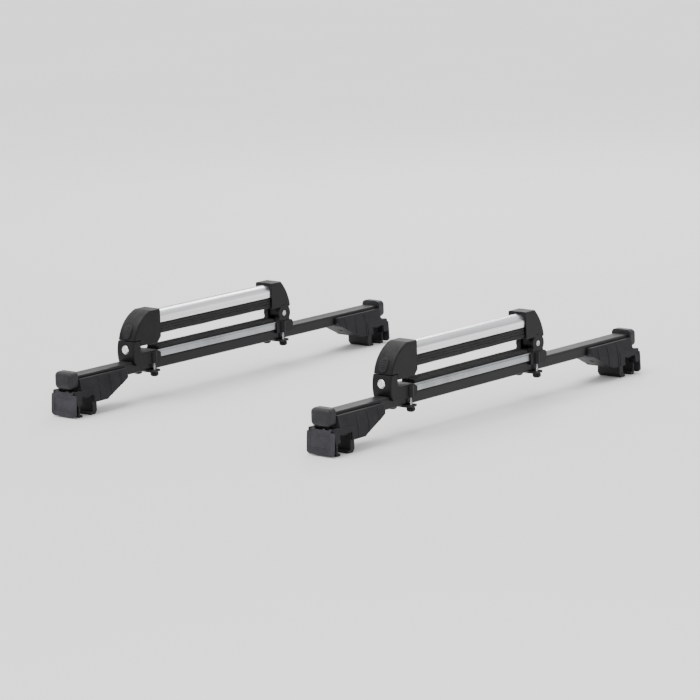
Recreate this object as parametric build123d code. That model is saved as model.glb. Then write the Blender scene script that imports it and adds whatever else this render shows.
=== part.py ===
from build123d import *
import os

# Roof ski rack: two crossbars on four rail-clamping feet, and on each bar one
# ski carrier whose padded arm swings up from a hinge and shuts on a latch.
# Millimetres.  +X runs along the bars to the latch side of the vehicle (the
# "near" side), +Y is the direction of travel, +Z is up.  The origin is the
# middle of the rack's footprint, level with the bottoms of the clamp jaws.

# Whole rack
bar_spacing = 720.0             # front bar to rear bar
bar_half_length = 505.0         # middle of a bar to its cut end
tip_x = 520.0                   # outermost point of an end cap or cover
bar_width, bar_height = 38.0, 25.0
bar_wall, bar_corner = 2.0, 4.5
bar_floor = 64.0                # underside of the bars
bar_top = bar_floor + bar_height
gap = 0.3                       # room between pieces that move past each other
fit = 0.08                      # radial running clearance of pins and screws

# Feet
rail_x = 480.0                  # middle of the roof rail under each foot
rail_half = 19.0                # half the widest rail that the jaws take
rail_top = 40.0                 # top of the rail, where the pad rests
pad_thickness = 4.0
pad_half_width, pad_half_length = 10.0, 33.0
foot_underside = rail_top + pad_thickness
foot_skirt = 28.0               # lower edge of the foot's moulding
foot_inner_top_x = 347.0
foot_inner_low_x = 420.0
foot_outer_x = 513.6
foot_top = 82.0
foot_half_low, foot_half_mid, foot_half_top = 37.0, 34.5, 28.0
shoulder_z = 57.0               # where the foot passes under the end cap
saddle_end_x = 495.0
screw_z = 50.0                  # clamp screw axis
screw_radius = 3.0
screw_head_radius, screw_head_height = 5.2, 4.0
socket_radius, socket_depth = 2.6, 2.4
lip_height = 6.0
lip_reach = 7.0
jaw_thickness = 4.0
jaw_top = 56.0
fixed_jaw_x = rail_x - rail_half - 12.0     # inner face of the fixed jaw
fixed_jaw_half, sliding_jaw_half = 30.0, 29.0
foot_screw_xs = (388.0, 424.0)
foot_screw_radius, foot_screw_head = 2.5, 4.5
foot_screw_ledge = bar_floor - 5.0          # where the screws' heads bear
foot_rib_xs = (372.0, 406.0, 440.0)         # upright ribs on the foot's two faces
foot_rib_half, foot_rib_height = 1.3, 0.8
flap_pivot_x, flap_pivot_z = 510.5, 53.5
flap_knuckle, flap_pin_radius = 3.5, 1.8
flap_half = 36.0
flap_corner = 9.0
flap_panel_half, flap_panel_depth = 27.0, 0.7

# Ski carriers
rail_half_width = 21.0          # half width of the alloy base rail
rail_bottom, rail_rim = bar_top, 105.0
rail_wall = 4.0
rail_groove_z, rail_groove_depth = 101.5, 0.7
base_rail_far, base_rail_near = -186.0, 314.0
base_pad_far, base_pad_near = -139.0, 239.0
base_pad_top = 113.0
housing_half = 25.0             # half width of the black end housings
housing_foot = 80.0             # how low the housings reach beside the bar
boss_radius, boss_top = 7.0, 104.0
arm_pad_bottom, arm_rail_bottom = 137.0, 163.0
arm_shoulder, arm_top = 177.0, 190.0
arm_half_width = 20.0
arm_wall, arm_web = 2.2, 6.0     # walls of the hollow arm, and its floor over the pad
tongue_slot_half, tongue_slot_height = 7.5, 3.9
arm_far, arm_near = -150.0, 262.0
arm_pad_far, arm_pad_near = -127.5, 236.5
cap_top = 195.0
hinge_x, hinge_z = -170.0, 122.0
hinge_pin_radius = 4.0
ear_radius = 19.0
ear_inner, tongue_half = 10.6, 10.0
tongue_radius = 14.0
latch_inner_x = 240.0
post_inner_x = 302.0
split_z = 133.0                 # top of the latch post, under the arm's head
head_floor = 122.0
head_half = 24.5
head_wall = 3.5
hook_x, hook_z = 276.0, 177.0
hook_pin_radius = 2.5
hook_tube = 5.0
hook_half, prong_inner = 14.5, 10.5
striker_x, striker_z, striker_radius = 308.0, 127.5, 2.5
lock_z, lock_radius = 115.0, 8.0
button_z, button_half_height, button_half_width = 154.0, 15.5, 10.5
button_inner_x = 300.0
button_proud, collar_width, collar_proud = 2.0, 2.2, 0.9
stem_radius, stem_end_x, stem_z = 3.5, 287.6, 163.0
clamp_xs = (262.0, -160.0)      # the two clamps of each carrier
clamp_bolt_y = 24.3
clamp_bolt_radius = 3.0
plate_thickness = 4.0
nut_radius, nut_height = 9.0, 10.5
housing_screw_xs = (-150.0, 248.0, 290.0)
housing_screw_z, housing_screw_radius, housing_screw_head = 97.0, 2.0, 3.6
housing_screw_seat = housing_half - 0.6     # where the screw heads sit


def xz(points, half_width):
    """Plate of an XZ outline, as thick as twice half_width about Y = 0."""
    return extrude(Plane.XZ * make_face(Polyline(*points, close=True)), half_width, both=True)


def xz_lines(lines, half_width):
    """Plate of an XZ outline made of joined lines and arcs."""
    return extrude(Plane.XZ * make_face(Wire(lines)), half_width, both=True)


def along_x(sketch, x0, x1):
    """Bar with a YZ section, from x0 to x1."""
    return Pos(x0, 0, 0) * extrude(Plane.YZ * sketch, x1 - x0)


def block(x0, x1, y0, y1, z0, z1):
    """Box between two corners."""
    size = Box(x1 - x0, y1 - y0, z1 - z0)
    return Pos((x0 + x1) / 2, (y0 + y1) / 2, (z0 + z1) / 2) * size


def rod_x(x0, x1, y, z, radius):
    return Pos((x0 + x1) / 2, y, z) * Rot(0, 90, 0) * Cylinder(radius, x1 - x0)


def rod_y(x, y0, y1, z, radius):
    return Pos(x, (y0 + y1) / 2, z) * Rot(90, 0, 0) * Cylinder(radius, y1 - y0)


def rod_z(x, y, z0, z1, radius):
    return Pos(x, y, (z0 + z1) / 2) * Cylinder(radius, z1 - z0)


def both_sides(shape):
    """The shape and its mirror image across the rack's middle."""
    return [shape, mirror(shape, Plane.YZ)]


# ---------------------------------------------------------------- crossbars

def crossbar():
    outer = RectangleRounded(bar_width, bar_height, bar_corner)
    inner = RectangleRounded(bar_width - 2 * bar_wall, bar_height - 2 * bar_wall, bar_corner - bar_wall)
    section = Pos(0, bar_floor + bar_height / 2) * (outer - inner)
    tube = along_x(section, -bar_half_length, bar_half_length)
    for x in foot_screw_xs:
        for side in (-1, 1):
            tube -= rod_z(side * x, 0, bar_floor - 1, bar_floor + bar_wall + 1, foot_screw_radius + fit)
    return tube


def end_cap():
    """Domed plastic cap over the bar's cut end, with a plug inside the tube."""
    shell = block(497.0, tip_x, -25.5, 25.5, 61.0, 98.5)
    rim = shell.edges().filter_by(Axis.X)
    shell = fillet(rim, 10.0)
    nose = shell.faces().sort_by(Axis.X)[-1].edges()
    shell = fillet(nose, 9.0)
    shell -= block(490.0, bar_half_length, -bar_width / 2, bar_width / 2, bar_floor, bar_top)
    plug_half = bar_width / 2 - bar_wall - gap
    plug = block(489.0, bar_half_length + 1, -plug_half, plug_half,
                 bar_floor + bar_wall + gap, bar_top - bar_wall - gap)
    plug = fillet(plug.edges().filter_by(Axis.X), 2.0)
    return shell + plug


# --------------------------------------------------------------------- feet

def foot_section(inset):
    """Solid along X as wide as the foot, its two faces moved in by inset."""
    half = [(foot_half_low, foot_skirt), (foot_half_mid, shoulder_z), (foot_half_top, foot_top)]
    near = [(y - inset, z) for y, z in half]
    outline = near + [(-y, z) for y, z in reversed(near)]
    return along_x(make_face(Polyline(*outline, close=True)), 300, 560)


def foot_body():
    """Moulded foot: saddle round the bar above, rail channel and pockets below."""
    side = xz([(foot_inner_top_x, foot_top), (saddle_end_x, foot_top), (saddle_end_x, shoulder_z),
               (foot_outer_x, shoulder_z), (foot_outer_x, foot_skirt), (foot_inner_low_x, foot_skirt),
               (foot_inner_low_x - 8, foot_skirt + 5), (foot_inner_top_x + 6, bar_floor - 2),
               (foot_inner_top_x, bar_floor + 6)], 60)
    body = side & foot_section(foot_rib_height)
    uprights = body.edges().filter_by(Axis.Z, tolerance=20).group_by(Axis.X)[0]
    body = fillet(uprights, 6.0)
    full = side & foot_section(0)
    for x in foot_rib_xs:
        body += full & block(x - foot_rib_half, x + foot_rib_half, -60, 60, 0, foot_top - 4)
    body += full & block(fixed_jaw_x - 4, 560, -60, 60, 0, shoulder_z)
    body -= block(300, 560, -bar_width / 2, bar_width / 2, bar_floor, 120)
    body -= block(rail_x - rail_half, rail_x + rail_half, -60, 60, 0, foot_underside)
    body -= block(fixed_jaw_x - 0.2, rail_x, -31, 31, 0, foot_underside)
    body -= block(rail_x, 560, -31, 31, 0, foot_underside)
    body -= block(rail_x + rail_half, 560, -27, 27, 0, shoulder_z + 1)
    body -= rod_x(434, 500, 0, screw_z, screw_radius + fit)
    for y0, y1 in ((-34, -26), (26, 34)):
        body -= rod_y(flap_pivot_x, y0, y1, flap_pivot_z, flap_pin_radius + fit)
    for x in foot_screw_xs:
        body -= rod_z(x, 0, 20, bar_floor + 1, foot_screw_radius + fit)
        body -= rod_z(x, 0, 20, foot_screw_ledge, foot_screw_head + gap)
    return body


def fixed_jaw():
    """Cast hook that holds the rail's inner edge, bolted up into the foot."""
    inner = rail_x - rail_half
    hook = xz([(fixed_jaw_x, foot_underside), (fixed_jaw_x, 8), (fixed_jaw_x + 6, 0),
               (inner + lip_reach, 0), (inner + lip_reach, lip_height - 2),
               (inner + lip_reach - 2, lip_height), (inner, lip_height), (inner, foot_underside)],
              fixed_jaw_half)
    return fillet(hook.edges().filter_by(Axis.X).group_by(Axis.Z)[0], 2.0)


def rail_pad():
    """Ribbed rubber pad between the foot and the top of the rail."""
    pad = block(rail_x - pad_half_width, rail_x + pad_half_width, -pad_half_length, pad_half_length,
                rail_top, foot_underside)
    pad = fillet(pad.edges().filter_by(Axis.Z), 3.0)
    for y in range(-27, 28, 6):
        pad -= block(rail_x - 20, rail_x + 20, y - 1, y + 1, rail_top + 2.0, foot_underside - 1.0)
    return pad


def clamp_jaw():
    """Sliding outer jaw: a plate on the screw with a lip that goes under the rail."""
    inner = rail_x + rail_half + gap
    profile = xz([(inner, jaw_top), (inner + jaw_thickness, jaw_top), (inner + jaw_thickness, 0),
                  (inner - lip_reach, 0), (inner - lip_reach, lip_height - 2),
                  (inner - lip_reach + 2, lip_height), (inner, lip_height)], sliding_jaw_half)
    for side in (-1, 1):
        y0, y1 = sorted((side * 17, side * 40))
        profile -= block(400, 560, y0, y1, foot_skirt - 2, 80)
    for y in (-20, 0, 20):
        reach = foot_skirt - 8 if y else 36
        fin = xz([(inner + 3, reach), (inner + jaw_thickness + 3.5, 4), (inner + 3, 4)], 2)
        profile += Pos(0, y, 0) * fin
    return profile - rod_x(490, 520, 0, screw_z, screw_radius + fit)


def clamp_screw():
    """Socket-head screw that draws the sliding jaw in."""
    head_x = rail_x + rail_half + gap + jaw_thickness + 0.2
    screw = rod_x(442, head_x + 0.5, 0, screw_z, screw_radius)
    screw += rod_x(head_x, head_x + screw_head_height, 0, screw_z, screw_head_radius)
    socket = extrude(Plane.YZ * RegularPolygon(socket_radius, 6), socket_depth + 1)
    socket = Pos(head_x + screw_head_height - socket_depth, 0, screw_z) * socket
    return screw - socket


def foot_cover():
    """Hinged cover over the clamp screw, flared out towards its lower edge."""
    plate = xz([(514.0, 55), (516.2, 55), (518.2, 40), (519.5, 18), (tip_x, 8), (519.0, 3),
                (516.4, 3), (515.6, 20), (514.2, 44)], flap_half)
    shape = Pos(0, 29.0) * RectangleRounded(2 * flap_half, 2 * 26.0, flap_corner)
    plate &= along_x(shape, 500, 540) + block(500, 540, -flap_half, flap_half, 29, 60)
    panel = Pos(0, 28.0) * RectangleRounded(2 * flap_panel_half, 32.0, flap_corner / 2)
    skin = xz([(518.2, 40), (519.5, 18), (tip_x, 8), (530, 8), (530, 60), (516.2, 60), (516.2, 55)], 60)
    plate -= along_x(panel, 500, 540) & Pos(-flap_panel_depth, 0, 0) * skin
    for side in (-1, 1):
        y0, y1 = sorted((side * 26.7, side * 40))
        plate -= block(500, 540, y0, y1, flap_pivot_z - flap_knuckle, 80)
        y0, y1 = sorted((side * 19, side * 26.6))
        plate += rod_y(flap_pivot_x, y0, y1, flap_pivot_z, flap_knuckle)
        plate += block(flap_pivot_x, 515, y0, y1, flap_pivot_z - 2, flap_pivot_z + 1.4)
        y0, y1 = sorted((side * 25, side * 31))
        plate += rod_y(flap_pivot_x, y0, y1, flap_pivot_z, flap_pin_radius)
    return plate


def foot_screws():
    """Pan-head screws that hold one foot to the floor of its bar."""
    screws = []
    for x in foot_screw_xs:
        screw = rod_z(x, 0, foot_screw_ledge - 4, bar_floor + bar_wall + 4, foot_screw_radius)
        screws.append(screw + rod_z(x, 0, foot_screw_ledge - 4, foot_screw_ledge, foot_screw_head))
    return screws


# ------------------------------------------------------------- carrier base

def rail_section():
    """U-shaped alloy section that carries the lower pad."""
    mid = (rail_bottom + rail_rim) / 2
    outer = Pos(0, mid) * Rectangle(2 * rail_half_width, rail_rim - rail_bottom)
    slot = Pos(0, mid + rail_wall) * Rectangle(2 * (rail_half_width - rail_wall), rail_rim - rail_bottom)
    return outer - slot


def base_rail():
    rail = along_x(rail_section(), base_rail_far, base_rail_near)
    rail = chamfer(rail.edges().filter_by(Axis.X).group_by(Axis.Z)[-1], 0.8)
    for side in (-1, 1):
        groove = Pos(side * rail_half_width, rail_groove_z) * Rot(0, 0, 45)
        notch = Rectangle(2 * rail_groove_depth, 2 * rail_groove_depth)
        rail -= along_x(groove * notch, base_rail_far - 1, base_rail_near + 1)
    for x in housing_screw_xs:
        rail -= rod_y(x, -30, -10, housing_screw_z, housing_screw_radius)
    return rail


def base_pad():
    """Rubber strip that the skis lie on, in the rail's channel."""
    half = rail_half_width - rail_wall
    pad = block(base_pad_far, base_pad_near, -half, half, rail_bottom + rail_wall, base_pad_top)
    pad = fillet(pad.edges().filter_by(Axis.X).group_by(Axis.Z)[-1], 4.0)
    for y in (-8, 0, 8):
        pad -= rod_x(base_pad_far - 1, base_pad_near + 1, y, base_pad_top + 0.4, 1.8)
    return pad


def clamp_bosses(x):
    """Pillars beside the bar that take a clamp's two bolts."""
    bosses = rod_z(x, clamp_bolt_y, housing_foot, boss_top, boss_radius)
    return bosses + rod_z(x, -clamp_bolt_y, housing_foot, boss_top, boss_radius)


def fit_round_base(body, x):
    """Cut the bar, the base rail and the clamp bolts out of an end housing."""
    body -= along_x(rail_section(), base_rail_far, base_rail_near)
    body -= block(-300, 400, -bar_width / 2 - gap, bar_width / 2 + gap, 0, bar_top)
    for y in (-clamp_bolt_y, clamp_bolt_y):
        body -= rod_z(x, y, 0, 100, clamp_bolt_radius)
    for screw_x in housing_screw_xs:
        body -= rod_y(screw_x, -housing_half - 1, -10, housing_screw_z, housing_screw_radius)
        body -= rod_y(screw_x, -housing_half - 9, -housing_screw_seat, housing_screw_z, housing_screw_head)
    return body


def latch_base():
    """Near housing: foot on the bar and a post with the striker and the lock."""
    outline = [Line((latch_inner_x, housing_foot), (latch_inner_x, 100)),
               Line((latch_inner_x, 100), (latch_inner_x + 12, 107)),
               Line((latch_inner_x + 12, 107), (post_inner_x, 107)),
               Line((post_inner_x, 107), (post_inner_x, split_z)),
               Line((post_inner_x, split_z), (321.2, split_z)),
               ThreePointArc((321.2, split_z), (325.0, 112), (322.0, 88)),
               Line((322.0, 88), (316.0, housing_foot)),
               Line((316.0, housing_foot), (latch_inner_x, housing_foot))]
    body = xz_lines(outline, housing_half)
    body = fillet(body.edges().filter_by(Axis.Y).group_by(Axis.Z)[0].sort_by(Axis.X)[-1], 4.0)
    rim = [e for e in body.edges() if e.center().X > 320 and abs(e.center().Y) > housing_half - 1]
    body = fillet(rim, 3.0)
    body += clamp_bosses(clamp_xs[0])
    body = fit_round_base(body, clamp_xs[0])
    for side in (-1, 1):
        y0, y1 = sorted((side * (prong_inner - 1), side * (hook_half + 1)))
        body -= block(300, 314, y0, y1, 114, 160)
    body -= rod_y(striker_x, -22, 22, striker_z, striker_radius)
    body -= rod_x(304, 340, 0, lock_z, lock_radius + fit)
    body -= rod_x(323.8, 340, 0, lock_z, lock_radius + 1.6)
    return body


def striker_pin():
    pin = rod_y(striker_x, -22, 22, striker_z, striker_radius)
    return chamfer(pin.edges().filter_by(GeomType.CIRCLE), 0.5)


def lock_cylinder():
    """Lock barrel in the post: domed face with a keyway, tab behind."""
    barrel = rod_x(304.5, 325.6, 0, lock_z, lock_radius)
    barrel = fillet(barrel.edges().group_by(Axis.X)[-1], 1.6)
    barrel -= block(320.0, 330.0, -0.8, 0.8, lock_z - 4.2, lock_z + 4.2)
    return barrel - rod_x(324.9, 330, 0, lock_z, 5.0)


def hinge_base():
    """Far housing: foot on the bar and two ears round the arm's hinge."""
    foot = xz([(-195, 84), (-191, housing_foot), (-140, housing_foot), (-140, 101), (-144, 105),
               (-191, 105), (-195, 100)], housing_half)
    ear_half = housing_half - 2
    stem = xz([(-185.4, 104), (-185.4, 111.4), (hinge_x, hinge_z), (-153, 114), (-146, 104)], ear_half)
    disc = rod_y(hinge_x, -ear_half, ear_half, hinge_z, ear_radius)
    body = foot + stem + disc
    body -= block(-300, -100, -ear_inner, ear_inner, 105, 160)
    body += clamp_bosses(clamp_xs[1])
    body = fit_round_base(body, clamp_xs[1])
    body -= rod_y(hinge_x, -30, 30, hinge_z, hinge_pin_radius)
    body -= rod_y(hinge_x, -30, -(housing_half - 4.5), hinge_z, 6.5)
    return body - rod_y(hinge_x, housing_half - 4.5, 30, hinge_z, 6.5)


def hinge_pin():
    """Rivet through both ears, with a flush head at each end."""
    end = housing_half - 2.6
    pin = rod_y(hinge_x, -end, end, hinge_z, hinge_pin_radius)
    for side in (-1, 1):
        y0, y1 = sorted((side * (end - 1.8), side * end))
        pin += rod_y(hinge_x, y0, y1, hinge_z, 6.3)
    return pin


def clamp_plates():
    """Steel straps across the underside of the bar."""
    plates = []
    for x in clamp_xs:
        strap = block(x - 15, x + 15, -32, 32, bar_floor - plate_thickness, bar_floor)
        strap = fillet(strap.edges().filter_by(Axis.Z), 7.0)
        for y in (-clamp_bolt_y, clamp_bolt_y):
            strap -= rod_z(x, y, 0, 80, clamp_bolt_radius + 0.2)
        plates.append(strap)
    return plates


def clamp_bolts():
    """Studs from the housings down through the straps, each with its cap nut."""
    pieces = []
    for x in clamp_xs:
        for y in (-clamp_bolt_y, clamp_bolt_y):
            low = bar_floor - plate_thickness
            pieces.append(rod_z(x, y, low - 6, 100, clamp_bolt_radius))
            nut = rod_z(x, y, low - nut_height, low, nut_radius)
            nut = fillet(nut.edges().group_by(Axis.Z)[0], 4.0)
            for turn in range(6):
                notch = Pos(x, y, 0) * Rot(0, 0, 60 * turn) * rod_z(11.0, 0, 0, low - 1.5, 3.2)
                nut -= notch
            pieces.append(nut - rod_z(x, y, low - 6, low + 1, clamp_bolt_radius + 0.02))
    return pieces


def housing_screws():
    """Screws through the housings' rear cheeks into the base rail's wall."""
    screws = []
    for x in housing_screw_xs:
        shank = rod_y(x, -housing_screw_seat, -rail_half_width + rail_wall, housing_screw_z,
                      housing_screw_radius)
        head = rod_y(x, -housing_screw_seat - 1.6, -housing_screw_seat, housing_screw_z, housing_screw_head)
        screws.append(shank + head)
    return screws


# --------------------------------------------------------------------- arms

def arm_section(wall):
    """Arched section of the arm's alloy rail, inset by wall all round."""
    half = arm_half_width - wall
    low = arm_rail_bottom + (arm_web if wall else 0)
    high = arm_shoulder - wall * 0.4
    outline = [Line((-half, low), (half, low)), Line((half, low), (half, high)),
               ThreePointArc((half, high), (0, arm_top - wall), (-half, high)),
               Line((-half, high), (-half, low))]
    return make_face(Wire(outline))


def arm_rail():
    rail = along_x(arm_section(0), arm_far, arm_near)
    rail -= along_x(arm_section(arm_wall), arm_far - 1, arm_near + 1)
    slot = Pos(0, arm_rail_bottom) * Rectangle(2 * tongue_slot_half, 2 * tongue_slot_height)
    rail -= along_x(slot, arm_far - 1, arm_near + 1)
    lower = rail.edges().filter_by(Axis.X).group_by(Axis.Z)[0]
    corners = [e for e in lower if abs(e.center().Y) > arm_half_width - 1]
    return fillet(corners, 1.5)


def arm_pad():
    """Soft rubber strip under the arm, held by a tongue in the rail's groove."""
    half = arm_half_width - 1.5
    pad = block(arm_pad_far, arm_pad_near, -half, half, arm_pad_bottom, arm_rail_bottom)
    pad = fillet(pad.edges().filter_by(Axis.X).group_by(Axis.Z)[0], 8.0)
    for side in (-1, 1):
        pad -= rod_x(arm_pad_far - 1, arm_pad_near + 1, side * (half + 1.2), 156, 2.4)
    for y in (-6, 6):
        pad -= rod_x(arm_pad_far - 1, arm_pad_near + 1, y, arm_pad_bottom - 0.6, 2.2)
    half, top = tongue_slot_half - 0.1, arm_rail_bottom + tongue_slot_height - 0.1
    return pad + block(arm_pad_far, arm_pad_near, -half, half, arm_rail_bottom - 1, top)


def hinge_cap():
    """Far end of the arm: hooked cap over the ears with a tongue on the pin."""
    outline = [Line((-162, cap_top), (-128, cap_top)), Line((-128, cap_top), (-128, arm_pad_bottom)),
               Line((-128, arm_pad_bottom), (-157.08, arm_pad_bottom)),
               ThreePointArc((-157.08, arm_pad_bottom), (-170.0, hinge_z + 19.8), (-185.0, 134.92)),
               Line((-185.0, 134.92), (-191, 140)),
               ThreePointArc((-191, 140), (-180.5, 170), (-162, cap_top))]
    cap = xz_lines(outline, housing_half - 1.5)
    rim = [e for e in cap.edges() if abs(e.center().Y) > housing_half - 2 and e.center().Z > 150
           and e.center().X < -140]
    cap = fillet(rim, 4.0)
    cap -= along_x(arm_section(0), arm_far, arm_near)
    cap -= along_x(Pos(0, 150) * Rectangle(2 * arm_half_width - 2.4, 30), -127.9, -100)
    tongue = rod_y(hinge_x, -tongue_half, tongue_half, hinge_z, tongue_radius)
    tongue += block(hinge_x - tongue_radius, hinge_x + tongue_radius, -tongue_half, tongue_half,
                    hinge_z, 148)
    return cap + tongue - rod_y(hinge_x, -40, 40, hinge_z, hinge_pin_radius + fit)


def head_lines(grow, deeper=0):
    """Outline of the latch head, its curved face moved out by grow and its floor lowered."""
    return [Line((latch_inner_x - 3, cap_top), (266 + grow, cap_top)),
            ThreePointArc((266 + grow, cap_top), (303.2 + grow, 171), (320.6 + grow, split_z + 2)),
            Line((320.6 + grow, split_z + 2), (300, split_z + 2)),
            Line((300, split_z + 2), (300, head_floor - deeper)),
            Line((300, head_floor - deeper), (latch_inner_x + 8, head_floor - deeper)),
            Line((latch_inner_x + 8, head_floor - deeper), (latch_inner_x - 3, head_floor + 12)),
            Line((latch_inner_x - 3, head_floor + 12), (latch_inner_x - 3, cap_top))]


def latch_head():
    """Near end of the arm: hollow head that holds the button and the hook."""
    head = xz_lines(head_lines(0), head_half)
    rim = [e for e in head.edges() if abs(e.center().Y) > head_half - 1 and e.center().Z > 150
           and e.center().X > 240]
    head = fillet(rim, 4.0)
    head -= along_x(arm_section(0), arm_far, arm_near)
    head -= block(latch_inner_x - 10, arm_pad_near + gap, -arm_half_width, arm_half_width,
                  130, arm_rail_bottom)
    hollow = block(268, 299.5, -hook_half - 0.8, hook_half + 0.8, head_floor - 5, 184)
    head -= hollow & xz_lines(head_lines(-head_wall, 6), 40)
    head -= block(290, 305, -hook_half - 0.8, hook_half + 0.8, head_floor - 5, 141)
    head += button_oval(collar_width, 303) & xz_lines(head_lines(collar_proud), head_half)
    head -= button_oval(gap, 295)
    return head - rod_y(hook_x, -21, 21, hook_z, hook_pin_radius)


def button_oval(grow, x):
    """Upright oval bar along +X from x, larger than the button by grow all round."""
    straight = 2 * (button_half_height - button_half_width)
    oval = SlotCenterToCenter(straight, 2 * (button_half_width + grow))
    return Pos(x, 0, button_z) * extrude(Plane.YZ * (Rot(0, 0, 90) * oval), 60)


def latch_button():
    """Oval push button in the head's sloping face, with a stem to the hook."""
    button = button_oval(0, button_inner_x) & xz_lines(head_lines(button_proud), 60)
    return button + rod_x(stem_end_x, button_inner_x + 2, 0, stem_z, stem_radius)


def latch_hook():
    """Two-pronged hook on a cross tube, with a web that the button pushes."""
    prong = xz([(272, 177), (280, 177), (286.8, 160), (293, 143), (303.5, 132), (304.5, 124.6),
                (311, 124.6), (311.5, 122), (306, 117.6), (299, 117.6), (296, 122), (296.5, 130),
                (286, 141), (279, 158)], hook_half)
    prong -= block(270, 320, -prong_inner, prong_inner, 100, 152)
    prong -= block(265, 320, -prong_inner, prong_inner, 168, 190)
    tube = rod_y(hook_x, -hook_half, -9.0, hook_z, hook_tube)
    tube += rod_y(hook_x, 9.0, hook_half, hook_z, hook_tube)
    return prong + tube - rod_y(hook_x, -20, 20, hook_z, hook_pin_radius + fit)


def hook_pin():
    return rod_y(hook_x, -20.9, 20.9, hook_z, hook_pin_radius)


def hook_spring():
    """Torsion spring on the hook's pin, between the two prongs."""
    coil = Helix(pitch=1.7, height=13.6, radius=4.2)
    start = coil @ 0
    wire = sweep(Plane(origin=start, z_dir=coil % 0) * Circle(0.7), path=coil)
    return Pos(hook_x, 6.8, hook_z) * Rot(90, 0, 0) * wire


# ------------------------------------------------------------------- output

def placed(pieces, y):
    """The pieces, moved to the bar at y, as one shape for one file."""
    moved = [Pos(0, y, 0) * piece for piece in pieces]
    return moved[0] if len(moved) == 1 else Compound(children=moved)


def main():
    os.makedirs("parts", exist_ok=True)
    nodes = {}
    per_bar = {
        "crossbar": [crossbar()], "end_caps": both_sides(end_cap()), "rail_pads": both_sides(rail_pad()),
        "fixed_jaws": both_sides(fixed_jaw()), "base_rail": [base_rail()], "base_pad": [base_pad()],
        "latch_base": [latch_base()], "hinge_base": [hinge_base()], "hinge_pin": [hinge_pin()],
        "striker_pin": [striker_pin()], "clamp_plates": clamp_plates(), "clamp_bolts": clamp_bolts(),
        "arm_rail": [arm_rail()], "arm_pad": [arm_pad()], "hinge_cap": [hinge_cap()],
        "latch_head": [latch_head()], "hook_pin": [hook_pin()], "hook_spring": [hook_spring()],
        "latch_button": [latch_button()], "latch_hook": [latch_hook()], "lock_cylinder": [lock_cylinder()]}
    per_foot = {"foot": foot_body(), "foot_cover": foot_cover(), "clamp_jaw": clamp_jaw(),
                "clamp_screw": clamp_screw()}
    screws, fasteners = [], []
    for end, y in (("front", bar_spacing / 2), ("rear", -bar_spacing / 2)):
        for name, pieces in per_bar.items():
            nodes[f"{name}_{end}"] = placed(pieces, y)
        for name, piece in per_foot.items():
            near, far = both_sides(piece)
            nodes[f"{name}_{end}_near"] = placed([near], y)
            nodes[f"{name}_{end}_far"] = placed([far], y)
        for screw in foot_screws():
            screws += [Pos(0, y, 0) * s for s in both_sides(screw)]
        fasteners += [Pos(0, y, 0) * s for s in housing_screws()]
    nodes["foot_screws"] = Compound(children=screws)
    nodes["housing_screws"] = Compound(children=fasteners)
    for name, shape in nodes.items():
        export_step(shape, f"parts/{name}.step")
    print(len(nodes), "nodes")


main()
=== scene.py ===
import math

import bmesh
import bpy
from bpy.props import FloatProperty, FloatVectorProperty, IntProperty, PointerProperty
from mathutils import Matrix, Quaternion, Vector


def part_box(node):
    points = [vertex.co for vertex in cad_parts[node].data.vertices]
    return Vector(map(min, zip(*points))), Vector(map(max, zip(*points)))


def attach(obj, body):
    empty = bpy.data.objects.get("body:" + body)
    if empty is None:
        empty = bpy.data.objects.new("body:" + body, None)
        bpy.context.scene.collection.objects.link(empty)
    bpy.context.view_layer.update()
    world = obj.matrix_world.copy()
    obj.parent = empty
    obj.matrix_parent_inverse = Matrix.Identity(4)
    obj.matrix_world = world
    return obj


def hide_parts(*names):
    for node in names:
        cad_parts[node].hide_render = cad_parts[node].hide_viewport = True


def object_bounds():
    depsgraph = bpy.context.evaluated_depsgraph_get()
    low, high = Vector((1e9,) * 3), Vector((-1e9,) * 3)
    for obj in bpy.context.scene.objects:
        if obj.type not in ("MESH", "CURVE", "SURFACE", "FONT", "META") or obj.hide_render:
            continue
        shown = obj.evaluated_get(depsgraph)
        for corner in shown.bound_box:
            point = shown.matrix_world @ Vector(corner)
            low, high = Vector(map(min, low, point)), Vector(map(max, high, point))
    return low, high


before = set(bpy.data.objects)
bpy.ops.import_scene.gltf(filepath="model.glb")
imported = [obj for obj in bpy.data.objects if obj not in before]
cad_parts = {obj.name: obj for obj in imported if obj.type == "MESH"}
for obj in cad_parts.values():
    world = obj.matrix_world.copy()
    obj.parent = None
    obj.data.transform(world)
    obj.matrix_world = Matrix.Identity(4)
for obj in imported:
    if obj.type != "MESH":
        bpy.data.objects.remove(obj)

bl_info = {
    "name": "Roof ski rack",
    "version": (1, 0, 0),
    "blender": (4, 5, 0),
    "location": "View3D > Sidebar > Ski rack",
    "description": "Finishes and soft parts of a roof rack with two ski carriers",
    "category": "Add Mesh",
}

CAD_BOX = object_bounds()
ENDS = ("front", "rear")
SIDES = ("near", "far")
MM = 0.001
M6_RADIUS = 2.98 * MM
PIN_RADIUS = 3.98 * MM
BAR_OFFSET = (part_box("crossbar_front")[0].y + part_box("crossbar_front")[1].y) / 2


# ------------------------------------------------------------------ settings

def colour_property(name, description, default):
    return FloatVectorProperty(name=name, description=description, default=default,
                               subtype="COLOR", size=3, min=0.0, max=1.0)


def length_property(name, description, default):
    return FloatProperty(name=name, description=description, default=default,
                         unit="LENGTH", min=0.0, precision=4)


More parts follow.
